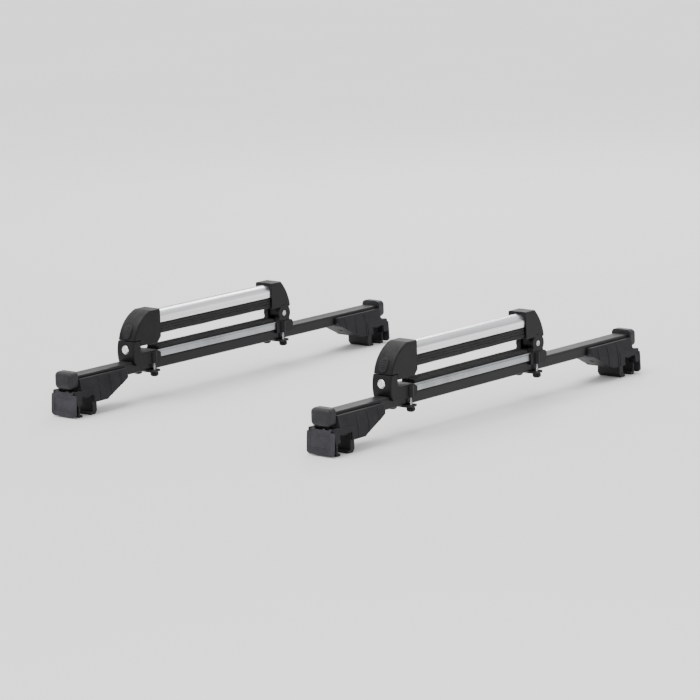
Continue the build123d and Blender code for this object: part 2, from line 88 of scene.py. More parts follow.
class RackColours(bpy.types.PropertyGroup):
    """Colours of the rack's finishes"""
    bar: colour_property("Bars", "Black coating of the two crossbars", (0.004, 0.004, 0.005))
    foot: colour_property("Feet", "Charcoal moulding of the feet", (0.012, 0.012, 0.014))
    cover: colour_property("Foot covers", "Lighter moulding of the screw covers", (0.030, 0.029, 0.035))
    cap: colour_property("End caps", "Domed caps on the bars' ends", (0.022, 0.022, 0.025))
    housing: colour_property("Housings", "Black mouldings of the latch and hinge", (0.006, 0.006, 0.007))
    button: colour_property("Buttons", "Push buttons of the latches", (0.015, 0.015, 0.017))
    rubber: colour_property("Rubber", "Strips that hold the skis", (0.011, 0.011, 0.012))
    arm: colour_property("Arms", "Silver anodised alloy of the arms", (0.86, 0.87, 0.89))
    # Painted shade: the lower rails are the same silver alloy as the arms, and their colour is kept darker to
    # stand for the shade they sit in.
    base: colour_property("Base rails", "Shade-darkened alloy of the lower rails", (0.40, 0.41, 0.43))
    steel: colour_property("Steel", "Zinc plated pins, hooks and screws", (0.52, 0.53, 0.55))
    jaw: colour_property("Jaws", "Dark coating of the jaws and straps", (0.009, 0.009, 0.010))
    chrome: colour_property("Locks", "Polished lock barrels", (0.86, 0.87, 0.88))
    dust: colour_property("Dust", "Road dust that settles on top", (0.30, 0.29, 0.27))


class RackSizes(bpy.types.PropertyGroup):
    """Sizes of the rack's fine detail"""
    edge_round: length_property("Edge rounding", "Radius that mouldings' edges look rounded to", 0.0009)
    metal_round: length_property("Metal edges", "Radius that metal edges look rounded to", 0.0005)
    thread_pitch: length_property("Thread pitch", "Advance of a screw thread in one turn", 0.001)
    thread_depth: length_property("Thread depth", "Depth of a screw thread", 0.0005)
    rib_height: length_property("Rib height", "Height of the ribs along the lower pads", 0.0016)
    crease_depth: length_property("Crease depth", "Depth of the folds in the arms' rubber", 0.0026)
    ribs: IntProperty(name="Ribs", description="Ribs along each lower pad", default=5, min=1)
    creases: IntProperty(name="Creases", description="Folds in each side of the arms' rubber",
                         default=3, min=1)


class RackWear(bpy.types.PropertyGroup):
    """How used the rack looks"""
    dust: FloatProperty(name="Dust", description="Dust on surfaces that face up", default=0.16,
                        min=0.0, max=1.0, subtype="FACTOR")
    edges: FloatProperty(name="Edge wear", description="Rubbing along edges", default=0.35,
                         min=0.0, max=1.0, subtype="FACTOR")
    scratches: FloatProperty(name="Scratches", description="Fine scratches in the metal", default=0.30,
                             min=0.0, max=1.0, subtype="FACTOR")


class StageSettings(bpy.types.PropertyGroup):
    """Camera and light"""
    floor_colour: colour_property("Floor", "Plain pale floor", (0.90, 0.90, 0.89))
    distance: length_property("Distance", "From the rack's footprint to the camera", 7.90)
    lens: FloatProperty(name="Lens", description="Focal length", default=188.0, min=1.0,
                        unit="CAMERA")
    azimuth: FloatProperty(name="Azimuth", description="Camera's place round the rack",
                           default=math.radians(130.7), subtype="ANGLE")
    elevation: FloatProperty(name="Elevation", description="Camera's height as an angle",
                             default=math.radians(10.6), subtype="ANGLE")
    roll: FloatProperty(name="Roll", description="Tilt of the camera about its own line of sight",
                        default=math.radians(-1.8), subtype="ANGLE")


class RackSettings(bpy.types.PropertyGroup):
    """Everything that a user would change"""
    colours: PointerProperty(type=RackColours)
    sizes: PointerProperty(type=RackSizes)
    wear: PointerProperty(type=RackWear)
    stage: PointerProperty(type=StageSettings)


# --------------------------------------------------------------- node helpers

def put(tree, kind, values=None, **settings):
    """A new node with its settings, and its inputs set or linked."""
    made = tree.nodes.new(kind)
    for key, value in settings.items():
        setattr(made, key, value)
    for key, value in (values or {}).items():
        if isinstance(value, bpy.types.NodeSocket):
            tree.links.new(value, made.inputs[key])
        else:
            made.inputs[key].default_value = value
    return made


def math_node(tree, operation, first, second=0.0, clamp=False):
    return put(tree, "ShaderNodeMath", {0: first, 1: second}, operation=operation, use_clamp=clamp).outputs[0]


def remap(tree, value, low, high, new_low=0.0, new_high=1.0):
    """The value, taken from low..high to new_low..new_high and held there."""
    inputs = {"Value": value, "From Min": low, "From Max": high, "To Min": new_low, "To Max": new_high}
    return put(tree, "ShaderNodeMapRange", inputs, clamp=True).outputs["Result"]


def blend_colour(tree, factor, first, second):
    node = put(tree, "ShaderNodeMix", {0: factor}, data_type="RGBA")
    for index, value in ((6, first), (7, second)):
        if isinstance(value, bpy.types.NodeSocket):
            tree.links.new(value, node.inputs[index])
        else:
            node.inputs[index].default_value = value
    return node.outputs[2]


def noise(tree, vector, scale, detail=3.0, roughness=0.55):
    inputs = {"Vector": vector, "Scale": scale, "Detail": detail, "Roughness": roughness}
    return put(tree, "ShaderNodeTexNoise", inputs).outputs["Fac"]


def group_tree(name, inputs, outputs):
    """An empty shader node group with named sockets, and its two end nodes."""
    tree = bpy.data.node_groups.new(name, "ShaderNodeTree")
    for label, kind, default in inputs:
        socket = tree.interface.new_socket(label, in_out="INPUT", socket_type="NodeSocket" + kind)
        if default is not None:
            socket.default_value = default
    for label, kind in outputs:
        tree.interface.new_socket(label, in_out="OUTPUT", socket_type="NodeSocket" + kind)
    return tree, tree.nodes.new("NodeGroupInput").outputs, tree.nodes.new("NodeGroupOutput").inputs


def grain_group():
    """Fine moulded grain and broad mottling."""
    tree, given, out = group_tree(
        "Moulded grain", [("Vector", "Vector", None), ("Grain scale", "Float", 1800.0),
                          ("Mottle scale", "Float", 24.0)], [("Height", "Float"), ("Mottle", "Float")])
    fine = noise(tree, given["Vector"], given["Grain scale"], 2.0)
    cells = put(tree, "ShaderNodeTexVoronoi", {"Vector": given["Vector"], "Scale": given["Grain scale"]})
    mixed = math_node(tree, "ADD", math_node(tree, "MULTIPLY", fine, 0.6),
                      math_node(tree, "MULTIPLY", cells.outputs["Distance"], 0.4))
    tree.links.new(mixed, out["Height"])
    tree.links.new(noise(tree, given["Vector"], given["Mottle scale"], 5.0, 0.65), out["Mottle"])
    return tree


def edge_group():
    """Rounded edges for shading, and a broken mask of rubbing along them."""
    tree, given, out = group_tree(
        "Edge wear", [("Vector", "Vector", None), ("Radius", "Float", 0.001), ("Amount", "Float", 0.3)],
        [("Mask", "Float"), ("Rounded normal", "Vector")])
    rounded = put(tree, "ShaderNodeBevel", {"Radius": given["Radius"]}, samples=4).outputs["Normal"]
    flat = put(tree, "ShaderNodeNewGeometry").outputs["Normal"]
    dot = put(tree, "ShaderNodeVectorMath", {0: rounded, 1: flat}, operation="DOT_PRODUCT").outputs["Value"]
    edge = remap(tree, dot, 0.995, 0.86)
    patch = remap(tree, noise(tree, given["Vector"], 120.0, 4.0, 0.7), 0.42, 0.62)
    worn = math_node(tree, "MULTIPLY", edge, patch)
    tree.links.new(math_node(tree, "MULTIPLY", worn, given["Amount"]), out["Mask"])
    tree.links.new(rounded, out["Rounded normal"])
    return tree


def dust_group():
    """Dust on what faces up, thicker in patches."""
    tree, given, out = group_tree(
        "Settled dust", [("Vector", "Vector", None), ("Amount", "Float", 0.3)], [("Mask", "Float")])
    normal = put(tree, "ShaderNodeNewGeometry").outputs["Normal"]
    up = put(tree, "ShaderNodeSeparateXYZ", {0: normal}).outputs["Z"]
    patch = remap(tree, noise(tree, given["Vector"], 38.0, 6.0, 0.7), 0.30, 0.75, 0.25, 1.0)
    specks = remap(tree, noise(tree, given["Vector"], 900.0, 2.0), 0.60, 0.72, 0.0, 0.7)
    level = math_node(tree, "ADD", math_node(tree, "MULTIPLY", remap(tree, up, 0.15, 1.0), patch),
                      math_node(tree, "MULTIPLY", specks, 0.25))
    tree.links.new(math_node(tree, "MULTIPLY", level, given["Amount"], True), out["Mask"])
    return tree


def drawn_group():
    """Lines that run along an extrusion, from the die it was drawn through."""
    tree, given, out = group_tree(
        "Die lines", [("Vector", "Vector", None), ("Fineness", "Float", 900.0)],
        [("Height", "Float"), ("Streak", "Float")])
    squeezed = put(tree, "ShaderNodeVectorMath", {0: given["Vector"], 1: (0.012, 1.0, 1.0)},
                   operation="MULTIPLY").outputs[0]
    tree.links.new(noise(tree, squeezed, given["Fineness"], 2.0), out["Height"])
    tree.links.new(noise(tree, squeezed, math_node(tree, "MULTIPLY", given["Fineness"], 0.12), 4.0),
                   out["Streak"])
    return tree


def scratch_group():
    """Sparse hair-thin scratches in two directions."""
    tree, given, out = group_tree(
        "Hair scratches", [("Vector", "Vector", None), ("Amount", "Float", 0.3)], [("Mask", "Float")])
    masks = []
    for turn, scale in ((0.35, 260.0), (-0.9, 190.0)):
        turned = put(tree, "ShaderNodeVectorRotate", {"Vector": given["Vector"], "Angle": turn},
                     rotation_type="Y_AXIS").outputs[0]
        thin = put(tree, "ShaderNodeVectorMath", {0: turned, 1: (0.06, 1.0, 3.0)},
                   operation="MULTIPLY").outputs[0]
        masks.append(remap(tree, noise(tree, thin, scale, 2.0), 0.69, 0.74))
    both = math_node(tree, "MAXIMUM", *masks)
    tree.links.new(math_node(tree, "MULTIPLY", both, given["Amount"]), out["Mask"])
    return tree


def seam_group():
    """Shallow parting line where a moulding's halves meet, along each bar's middle."""
    tree, given, out = group_tree(
        "Mould seam", [("Vector", "Vector", None), ("Offset", "Float", BAR_OFFSET),
                       ("Width", "Float", 0.0004)], [("Height", "Float")])
    across = put(tree, "ShaderNodeSeparateXYZ", {0: given["Vector"]}).outputs["Y"]
    away = math_node(tree, "SUBTRACT", math_node(tree, "ABSOLUTE", across), given["Offset"])
    near = math_node(tree, "DIVIDE", math_node(tree, "ABSOLUTE", away), given["Width"])
    tree.links.new(remap(tree, near, 0.4, 1.0), out["Height"])
    return tree


GROUP_MAKERS = {"grain": grain_group, "edge": edge_group, "dust": dust_group, "drawn": drawn_group,
                "scratch": scratch_group, "seam": seam_group}
groups = {}
finishes = {}


def use_group(tree, key, values):
    """Places one of the shared effects in a material."""
    if key not in groups:
        groups[key] = GROUP_MAKERS[key]()
    node = tree.nodes.new("ShaderNodeGroup")
    node.node_tree = groups[key]
    for name, value in values.items():
        if isinstance(value, bpy.types.NodeSocket):
            tree.links.new(value, node.inputs[name])
        else:
            node.inputs[name].default_value = value
    return node.outputs


def shade(colour, factor):
    """The colour, made lighter or darker, as a socket value."""
    return tuple(min(1.0, c * factor) for c in colour) + (1.0,)


class Finish:
    """A new material with its shader, its coordinates and the effects it gathers."""

    def __init__(self, name):
        self.material = bpy.data.materials.new(name)
        self.material.use_nodes = True
        self.tree = self.material.node_tree
        self.shader = self.tree.nodes["Principled BSDF"]
        self.place = put(self.tree, "ShaderNodeTexCoord").outputs["Object"]
        self.height = None
        self.normal = None

    def effect(self, key, **values):
        named = {name.replace("_", " "): value for name, value in values.items()}
        return use_group(self.tree, key, {"Vector": self.place, **named})

    def add_height(self, height, strength):
        """Adds to the relief, in millimetres."""
        scaled = math_node(self.tree, "MULTIPLY", height, strength)
        self.height = scaled if self.height is None else math_node(self.tree, "ADD", self.height, scaled)

    def feed(self, socket, value):
        if isinstance(value, bpy.types.NodeSocket):
            self.tree.links.new(value, self.shader.inputs[socket])
        else:
            self.shader.inputs[socket].default_value = value

    def done(self):
        if self.height is not None:
            values = {"Height": self.height, "Strength": 1.0, "Distance": MM}
            if self.normal is not None:
                values["Normal"] = self.normal
            self.feed("Normal", put(self.tree, "ShaderNodeBump", values).outputs["Normal"])
        return self.material


def moulded_plastic(name, colour, roughness, grain_scale=1800.0, grain_depth=0.10, seam=0.0):
    """Grained plastic, rubbed paler on its edges, with dust on top."""
    rack = bpy.context.scene.ski_rack
    finish = Finish(name)
    tree = finish.tree
    grain = finish.effect("grain", **{"Grain scale": grain_scale})
    edge = finish.effect("edge", Radius=rack.sizes.edge_round, Amount=rack.wear.edges)
    dust = finish.effect("dust", Amount=rack.wear.dust)
    mottle = remap(tree, grain["Mottle"], 0.38, 0.62)
    base = blend_colour(tree, mottle, shade(colour, 0.75), shade(colour, 1.3))
    base = blend_colour(tree, edge["Mask"], base, shade(colour, 4.5))
    base = blend_colour(tree, dust["Mask"], base, shade(rack.colours.dust, 0.8))
    finish.feed("Base Color", base)
    rough = remap(tree, grain["Mottle"], 0.3, 0.7, roughness - 0.06, roughness + 0.07)
    finish.feed("Roughness", math_node(tree, "ADD", rough, math_node(tree, "MULTIPLY", dust["Mask"], 0.3)))
    finish.add_height(grain["Height"], grain_depth)
    if seam:
        line = finish.effect("seam", Width=0.0005)
        finish.add_height(line["Height"], seam)
    finish.normal = edge["Rounded normal"]
    finish.shader.inputs["Specular IOR Level"].default_value = 0.17
    return finish.done()


def soft_rubber(name, colour):
    """Matt rubber with a faint bloom, scuffed where skis rub it."""
    rack = bpy.context.scene.ski_rack
    finish = Finish(name)
    tree = finish.tree
    grain = finish.effect("grain", **{"Grain scale": 2600.0, "Mottle scale": 40.0})
    edge = finish.effect("edge", Radius=0.0012, Amount=0.35)
    dust = finish.effect("dust", Amount=rack.wear.dust * 1.4)
    mottle = remap(tree, grain["Mottle"], 0.32, 0.68)
    base = blend_colour(tree, mottle, shade(colour, 0.7), shade(colour, 1.5))
    base = blend_colour(tree, edge["Mask"], base, shade(colour, 3.2))
    base = blend_colour(tree, dust["Mask"], base, shade(rack.colours.dust, 0.6))
    finish.feed("Base Color", base)
    finish.feed("Roughness", remap(tree, grain["Mottle"], 0.3, 0.7, 0.66, 0.84))
    finish.add_height(grain["Height"], 0.14)
    finish.normal = edge["Rounded normal"]
    finish.shader.inputs["Specular IOR Level"].default_value = 0.12
    finish.shader.inputs["Sheen Weight"].default_value = 0.12
    finish.shader.inputs["Sheen Roughness"].default_value = 0.5
    return finish.done()


def drawn_alloy(name, colour, roughness, fineness, tarnish):
    """Extruded alloy with die lines, hair scratches and a little tarnish."""
    rack = bpy.context.scene.ski_rack
    finish = Finish(name)
    tree = finish.tree
    lines = finish.effect("drawn", Fineness=fineness)
    grain = finish.effect("grain", **{"Grain scale": 3200.0, "Mottle scale": 16.0})
    scratch = finish.effect("scratch", Amount=rack.wear.scratches)
    edge = finish.effect("edge", Radius=rack.sizes.metal_round, Amount=rack.wear.edges)
    dust = finish.effect("dust", Amount=rack.wear.dust * 0.6)
    streak = remap(tree, lines["Streak"], 0.4, 0.6)
    base = blend_colour(tree, streak, shade(colour, 0.80), shade(colour, 1.06))
    stain = remap(tree, grain["Mottle"], 0.48, 0.72, 0.0, tarnish)
    base = blend_colour(tree, stain, base, shade(colour, 0.45))
    bright = math_node(tree, "MAXIMUM", scratch["Mask"], edge["Mask"])
    base = blend_colour(tree, bright, base, shade(colour, 1.3))
    base = blend_colour(tree, dust["Mask"], base, shade(rack.colours.dust, 1.1))
    finish.feed("Base Color", base)
    finish.shader.inputs["Metallic"].default_value = 1.0
    rough = remap(tree, lines["Streak"], 0.4, 0.6, roughness - 0.05, roughness + 0.07)
    rough = math_node(tree, "ADD", rough, math_node(tree, "MULTIPLY", stain, 0.25))
    finish.feed("Roughness", math_node(tree, "ADD", rough, math_node(tree, "MULTIPLY", dust["Mask"], 0.4)))
    finish.add_height(lines["Height"], 0.05)
    finish.add_height(scratch["Mask"], -0.06)
    finish.normal = edge["Rounded normal"]
    return finish.done()


def coated_steel(name, colour, roughness, orange_peel):
    """Black coated metal: faint orange peel, bright metal where edges are rubbed."""
    rack = bpy.context.scene.ski_rack
    finish = Finish(name)
    tree = finish.tree
    grain = finish.effect("grain", **{"Grain scale": 420.0, "Mottle scale": 12.0})
    edge = finish.effect("edge", Radius=rack.sizes.metal_round * 1.4, Amount=rack.wear.edges)
    scratch = finish.effect("scratch", Amount=rack.wear.scratches * 0.6)
    dust = finish.effect("dust", Amount=rack.wear.dust)
    mottle = remap(tree, grain["Mottle"], 0.38, 0.62)
    base = blend_colour(tree, mottle, shade(colour, 0.75), shade(colour, 1.35))
    base = blend_colour(tree, scratch["Mask"], base, shade(colour, 5.0))
    base = blend_colour(tree, dust["Mask"], base, shade(rack.colours.dust, 0.7))
    finish.feed("Base Color", blend_colour(tree, edge["Mask"], base, (0.35, 0.35, 0.36, 1.0)))
    finish.feed("Metallic", edge["Mask"])
    rough = remap(tree, grain["Mottle"], 0.3, 0.7, roughness - 0.05, roughness + 0.06)
    finish.feed("Roughness", math_node(tree, "ADD", rough, math_node(tree, "MULTIPLY", dust["Mask"], 0.35)))
    finish.add_height(grain["Height"], orange_peel)
    finish.normal = edge["Rounded normal"]
    finish.shader.inputs["Specular IOR Level"].default_value = 0.22
    return finish.done()


def plated_steel(name, colour, roughness, spangle):
    """Plated steel with a mottled lustre and hair scratches."""
    rack = bpy.context.scene.ski_rack
    finish = Finish(name)
    tree = finish.tree
    grain = finish.effect("grain", **{"Grain scale": 1500.0, "Mottle scale": 180.0})
    scratch = finish.effect("scratch", Amount=rack.wear.scratches)
    edge = finish.effect("edge", Radius=rack.sizes.metal_round * 0.6, Amount=rack.wear.edges)
    base = blend_colour(tree, remap(tree, grain["Mottle"], 0.35, 0.65), shade(colour, 1.0 - spangle),
                        shade(colour, 1.0 + spangle * 0.4))
    base = blend_colour(tree, scratch["Mask"], base, shade(colour, 0.6))
    finish.feed("Base Color", blend_colour(tree, edge["Mask"], base, shade(colour, 1.2)))
    finish.shader.inputs["Metallic"].default_value = 1.0
    finish.feed("Roughness", remap(tree, grain["Mottle"], 0.3, 0.7, roughness, roughness + 0.5 * spangle))
    finish.add_height(grain["Height"], 0.02)
    finish.normal = edge["Rounded normal"]
    return finish.done()


def finish_for(key):
    """The material of that key, made the first time it is asked for."""
    c = bpy.context.scene.ski_rack.colours
    makers = {
        "bar": lambda: coated_steel("Bar coating", c.bar, 0.34, 0.05),
        "jaw": lambda: coated_steel("Jaw coating", c.jaw, 0.5, 0.12),
        "foot": lambda: moulded_plastic("Foot moulding", c.foot, 0.52, 1100.0, 0.16),
        "cover": lambda: moulded_plastic("Cover moulding", c.cover, 0.46, 1500.0, 0.12),
        "cap": lambda: moulded_plastic("Cap moulding", c.cap, 0.40, 1800.0, 0.08),
        "housing": lambda: moulded_plastic("Housing moulding", c.housing, 0.40, 1500.0, 0.10, 0.22),
        "button": lambda: moulded_plastic("Button moulding", c.button, 0.36, 2400.0, 0.05),
        "rubber": lambda: soft_rubber("Soft rubber", c.rubber),
        "arm": lambda: drawn_alloy("Anodised alloy", c.arm, 0.30, 900.0, 0.10),
        # Painted shade: the lower rails' alloy is the arms' silver, darkened in colour to stand for the shade
        # it lies in.
        "base": lambda: drawn_alloy("Shade-darkened alloy", c.base, 0.42, 700.0, 0.45),
        "steel": lambda: plated_steel("Zinc plate", c.steel, 0.28, 0.3),
        "chrome": lambda: plated_steel("Lock chrome", c.chrome, 0.09, 0.08)}
    if key not in finishes:
        finishes[key] = makers[key]()
    return finishes[key]


# --------------------------------------------------------------- mesh helpers

def paint(node, key):
    """Gives a CAD node its finish."""
    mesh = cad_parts[node].data
    mesh.materials.clear()
    mesh.materials.append(finish_for(key))


def paint_all(stem, key, places=ENDS):
    for place in places:
        paint(f"{stem}_{place}", key)


def corners():
    """The four feet, such as front_near."""
    return [f"{end}_{side}" for end in ENDS for side in SIDES]


def mesh_piece(name, build, body, key, smooth=math.radians(35)):
    """A new mesh object from a bmesh builder, finished and set to ride on a body."""
    work = bmesh.new()
    build(work)
    bmesh.ops.recalc_face_normals(work, faces=work.faces)
    mesh = bpy.data.meshes.new(name)
    work.to_mesh(mesh)
    work.free()
    mesh.materials.append(finish_for(key))
    mesh.shade_smooth()
    mesh.set_sharp_from_angle(angle=smooth)
    piece = bpy.data.objects.new(name, mesh)
    bpy.context.scene.collection.objects.link(piece)
    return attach(piece, body)


def skin(work, rings, closed_ends=True):
    """Faces between rings of points that have the same count."""
    made = [[work.verts.new(p) for p in ring] for ring in rings]
    count = len(made[0])
    for low, high in zip(made, made[1:]):
        for i in range(count):
            j = (i + 1) % count
            work.faces.new((low[i], low[j], high[j], high[i]))
    if closed_ends:
        work.faces.new(made[0])
        work.faces.new(made[-1][::-1])
    return made


def around(centre, axis, radius_at, stations, steps):
    """Rings of points about an axis: radius_at(angle, distance) at each station."""
    axis = Vector(axis).normalized()
    side = axis.orthogonal().normalized()
    other = axis.cross(side)
    rings = []
    for s in stations:
        ring = []
        for i in range(steps):
            a = 2 * math.pi * i / steps
            r = radius_at(a, s)
            ring.append(Vector(centre) + axis * s + (side * math.cos(a) + other * math.sin(a)) * r)
        rings.append(ring)
    return rings


def turned(work, centre, axis, outline, steps=48):
    """A solid of revolution from (distance along, radius) points."""
    radii = dict(enumerate(r for _, r in outline))
    axis = Vector(axis).normalized()
    rings = []
    for i, (s, _) in enumerate(outline):
        rings += around(Vector(centre) + axis * s, axis, lambda a, t, i=i: radii[i], [0.0], steps)
    return skin(work, rings)


def threaded(work, centre, axis, start, end, radius, pitch, depth, steps=20):
    """A rod whose surface is a helical thread."""
    per_turn = 6
    count = max(2, int((end - start) / pitch * per_turn))
    stations = [start + (end - start) * i / count for i in range(count + 1)]

    def radius_at(angle, s):
        phase = (s / pitch - angle / (2 * math.pi)) % 1.0
        return radius - depth * (1.0 - abs(2.0 * phase - 1.0))

    return skin(work, around(centre, axis, radius_at, stations, steps))


def swept_x(work, section, x0, x1, spacing, shift=None):
    """A YZ outline carried along X, with shift(x, point) moving each point a little."""
    count = max(2, round((x1 - x0) / spacing))
    rings = []
    for i in range(count + 1):
        x = x0 + (x1 - x0) * i / count
        rings.append([Vector((x, *(shift(x, p) if shift else p))) for p in section])
    return skin(work, rings)


def islands(node):
    """Boxes, as (low, high), round each separate solid of a CAD node, lowest X first."""
    work = bmesh.new()
    work.from_mesh(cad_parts[node].data)
    bmesh.ops.remove_doubles(work, verts=work.verts, dist=0.01 * MM)
    left, boxes = set(work.verts), []
    while left:
        front, found = [left.pop()], []
        while front:
            vert = front.pop()
            found.append(vert.co.copy())
            near = {edge.other_vert(vert) for edge in vert.link_edges} & left
            left -= near
            front += near
        boxes.append((Vector(map(min, zip(*found))), Vector(map(max, zip(*found)))))
    work.free()
    return sorted(boxes, key=lambda box: tuple(box[0]))


def pan_screw(work, low, high, axis, towards, head_height, shank):
    """A threaded screw with a domed head and a six-sided recess, filling its box."""
    radius = (high[(axis + 1) % 3] - low[(axis + 1) % 3]) / 2
    length = high[axis] - low[axis]
    tip = (low + high) / 2
    tip[axis] = low[axis] if towards > 0 else high[axis]
    along = Vector([0, 0, 0])
    along[axis] = towards
    pitch, depth = 0.8 * MM, 0.35 * MM
    threaded(work, tip, along, 0.0, length - head_height, shank, pitch, depth, 16)
    dome = [(0.0, 0.93), (0.12, 1.0), (0.45, 1.0), (0.75, 0.9), (0.95, 0.7), (1.0, 0.58)]
    rings = []
    for share, width in dome:
        rings += around(tip + along * (length - head_height * (1 - share)), along,
                        lambda a, t, w=width: radius * w, [0.0], 48)

    def recess(angle, _):
        return radius * (0.42 + 0.07 * math.cos(6 * angle))

    for share in (1.0, 0.35):
        rings += around(tip + along * (length - head_height * (1 - share)), along, recess, [0.0], 48)
    skin(work, rings)


def grip_bar(work, x, y, z, outline):
    """A low bar across Y, from (distance along, radius) points in millimetres."""
    turns = [2 * math.pi * i / 12 for i in range(12)]
    rings = []
    for dy, size in outline:
        rings.append([Vector((x + size * MM * math.cos(a), y + dy * MM, z + size * MM * math.sin(a)))
                      for a in turns])
    skin(work, rings)


# ------------------------------------------------------------------ operators

class SKIRACK_OT_bars(bpy.types.Operator):
    """Coat the crossbars and finish their end caps"""
    bl_idname = "skirack.bars"
    bl_label = "Crossbars"

    def execute(self, context):
        paint_all("crossbar", "bar")
        paint_all("end_caps", "cap")
        return {"FINISHED"}


class SKIRACK_OT_feet(bpy.types.Operator):
    """Finish the feet, their covers and their jaws"""
    bl_idname = "skirack.feet"
    bl_label = "Feet"

    def execute(self, context):
        paint_all("foot", "foot", corners())
        paint_all("foot_cover", "cover", corners())
        paint_all("clamp_jaw", "jaw", corners())
        paint_all("fixed_jaws", "jaw")
        for corner in corners():
            self.grip_bars(corner)
        return {"FINISHED"}

    def grip_bars(self, corner):
        """Three low bars for the fingers near a cover's lower edge."""
        low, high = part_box(f"foot_cover_{corner}")
        outward = 1.0 if low.x > 0 else -1.0
        face = high.x if outward > 0 else low.x
        middle = (low.y + high.y) / 2

        lowest, spacing = 9.0, 4.0
        sunk, lean = 0.9, 0.16
        outline = ((-15.0, 0.2), (-14.4, 0.8), (0.0, 0.8), (14.4, 0.8), (15.0, 0.2))

        def build(work):
            for step in range(3):
                z = low.z + (lowest + spacing * step) * MM
                x = face - outward * (sunk + lean * step) * MM
                grip_bar(work, x, middle, z, outline)

        mesh_piece(f"cover_grips_{corner}", build, f"cover_{corner}", "cover")


class SKIRACK_OT_rail_pads(bpy.types.Operator):
    """Make the ribbed rubber pads that rest on the roof rails"""
    bl_idname = "skirack.rail_pads"
    bl_label = "Rail pads"

    def execute(self, context):
        for end in ENDS:
            low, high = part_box(f"rail_pads_{end}")
            half = 10.0 * MM
            middles = (low.x + half, high.x - half)
            made = mesh_piece(f"rail_pad_ribs_{end}",
                              lambda work: self.build(work, middles, half, low, high),
                              "rack", "rubber")
            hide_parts(f"rail_pads_{end}")
        return {"FINISHED"}

    def build(self, work, middles, half, low, high):
        count = 132
        pitch, rib_height, chamfer = 6.0 * MM, 0.9 * MM, 0.8 * MM
        for middle in middles:
            rings = []
            for i in range(count + 1):
                y = low.y + (high.y - low.y) * i / count
                nose = min(1.0, math.sin(math.pi * i / count) * 6.0)
                rib = rib_height * (0.5 + 0.5 * math.cos(2 * math.pi * (y - low.y) / pitch)) * nose
                floor = low.z + rib_height - rib
                w = half * (0.80 + 0.20 * nose)
                ring = [(-w, high.z), (w, high.z), (w, floor + chamfer), (w - chamfer, floor),
                        (-w + chamfer, floor), (-w, floor + chamfer)]
                rings.append([Vector((middle + dx, y, z)) for dx, z in ring])
            skin(work, rings)


class SKIRACK_OT_base_pads(bpy.types.Operator):
    """Make the ribbed rubber strips that the skis lie on"""
    bl_idname = "skirack.base_pads"
    bl_label = "Lower pads"

    def execute(self, context):
        sizes = context.scene.ski_rack.sizes
        for end in ENDS:
            low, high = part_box(f"base_pad_{end}")
            section = self.section(low, high, sizes.ribs, sizes.rib_height)
            made = mesh_piece(f"base_rubber_{end}",
                              lambda work: swept_x(work, section, low.x, high.x, 4 * MM, self.wave),
                              "rack", "rubber")
            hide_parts(f"base_pad_{end}")
        return {"FINISHED"}

    def section(self, low, high, ribs, rib_height):
        """Outline: flat below, round shoulders, ribs along the top."""
        middle, half = (low.y + high.y) / 2, (high.y - low.y) / 2
        points = [(middle - half, low.z), (middle + half, low.z)]
        steps = 96
        shoulder_drop, shoulder_start, shoulder_width = 4.5 * MM, 0.72, 0.28
        for i in range(steps + 1):
            t = 1.0 - 2.0 * i / steps
            past = max(0.0, (abs(t) - shoulder_start) / shoulder_width)
            shoulder = shoulder_drop * (1.0 - math.sqrt(max(0.0, 1.0 - past ** 2)))
            rib = rib_height * (0.5 - 0.5 * abs(math.cos(math.pi * ribs * (t + 1) / 2)) ** 0.5) * 2
            fade = 1.0 if abs(t) < 0.9 else 0.0
            points.append((middle + half * t, high.z - shoulder - (rib_height - rib) * fade))
        return points

    def wave(self, x, point):
        """Slight waviness of a strip that has been pressed by skis."""
        y, z = point
        pressed_above, depth = 0.106, 0.25 * MM
        top = 1.0 if z > pressed_above else 0.0
        return y, z - top * depth * (1 + math.sin(x * 61.0) * math.sin(x * 23.0 + y * 90.0)) / 2


class SKIRACK_OT_arm_pads(bpy.types.Operator):
    """Make the folded rubber strips under the arms"""
    bl_idname = "skirack.arm_pads"
    bl_label = "Arm rubber"

    def execute(self, context):
        sizes = context.scene.ski_rack.sizes
        for end in ENDS:
            low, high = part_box(f"arm_pad_{end}")
            rail_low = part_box(f"arm_rail_{end}")[0].z
            section = self.section(low, high, rail_low, sizes.creases, sizes.crease_depth)
            made = mesh_piece(f"arm_rubber_{end}",
                              lambda work: swept_x(work, section, low.x, high.x, 4 * MM, self.wave),
                              f"arm_{end}", "rubber")
            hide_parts(f"arm_pad_{end}")
        return {"FINISHED"}

    def section(self, low, high, rail_low, creases, depth):
        """Outline: folded sides, a rounded belly with ribs, and the tongue above."""
        middle, half = (low.y + high.y) / 2, (high.y - low.y) / 2
        belly = 8.5 * MM
        side, steps = [], 40
        for i in range(steps + 1):
            t = i / steps
            z = rail_low + (low.z + belly - rail_low) * t
            fold = depth * abs(math.sin(math.pi * creases * t)) ** 1.6
            side.append((half - fold, z))
        for i in range(1, 13):
            a = math.pi / 2 * i / 12
            side.append((half - belly + belly * math.cos(a), low.z + belly - belly * math.sin(a)))
        flat = half - belly
        for i in range(1, 13):
            y = flat * (1 - i / 12)
            side.append((y, low.z + 1.3 * MM * abs(math.sin(2 * math.pi * y / flat)) ** 0.7))
        right = [(middle + y, z) for y, z in side]
        left = [(middle - y, z) for y, z in side[-2::-1]]
        tongue = 7.2 * MM
        top = [(middle - tongue, rail_low), (middle - tongue, high.z - 0.3 * MM),
               (middle + tongue, high.z - 0.3 * MM), (middle + tongue, rail_low)]
        return right + left + top

    def wave(self, x, point):
        """Slow swelling of the strip along its length."""
        y, z = point
        still_above, reach, swell = 0.160, 0.023, 0.45 * MM
        lower = max(0.0, (still_above - z) / reach)
        return y, z + lower * swell * (1 + math.sin(x * 38.0 + 1.0) * math.sin(x * 17.0))


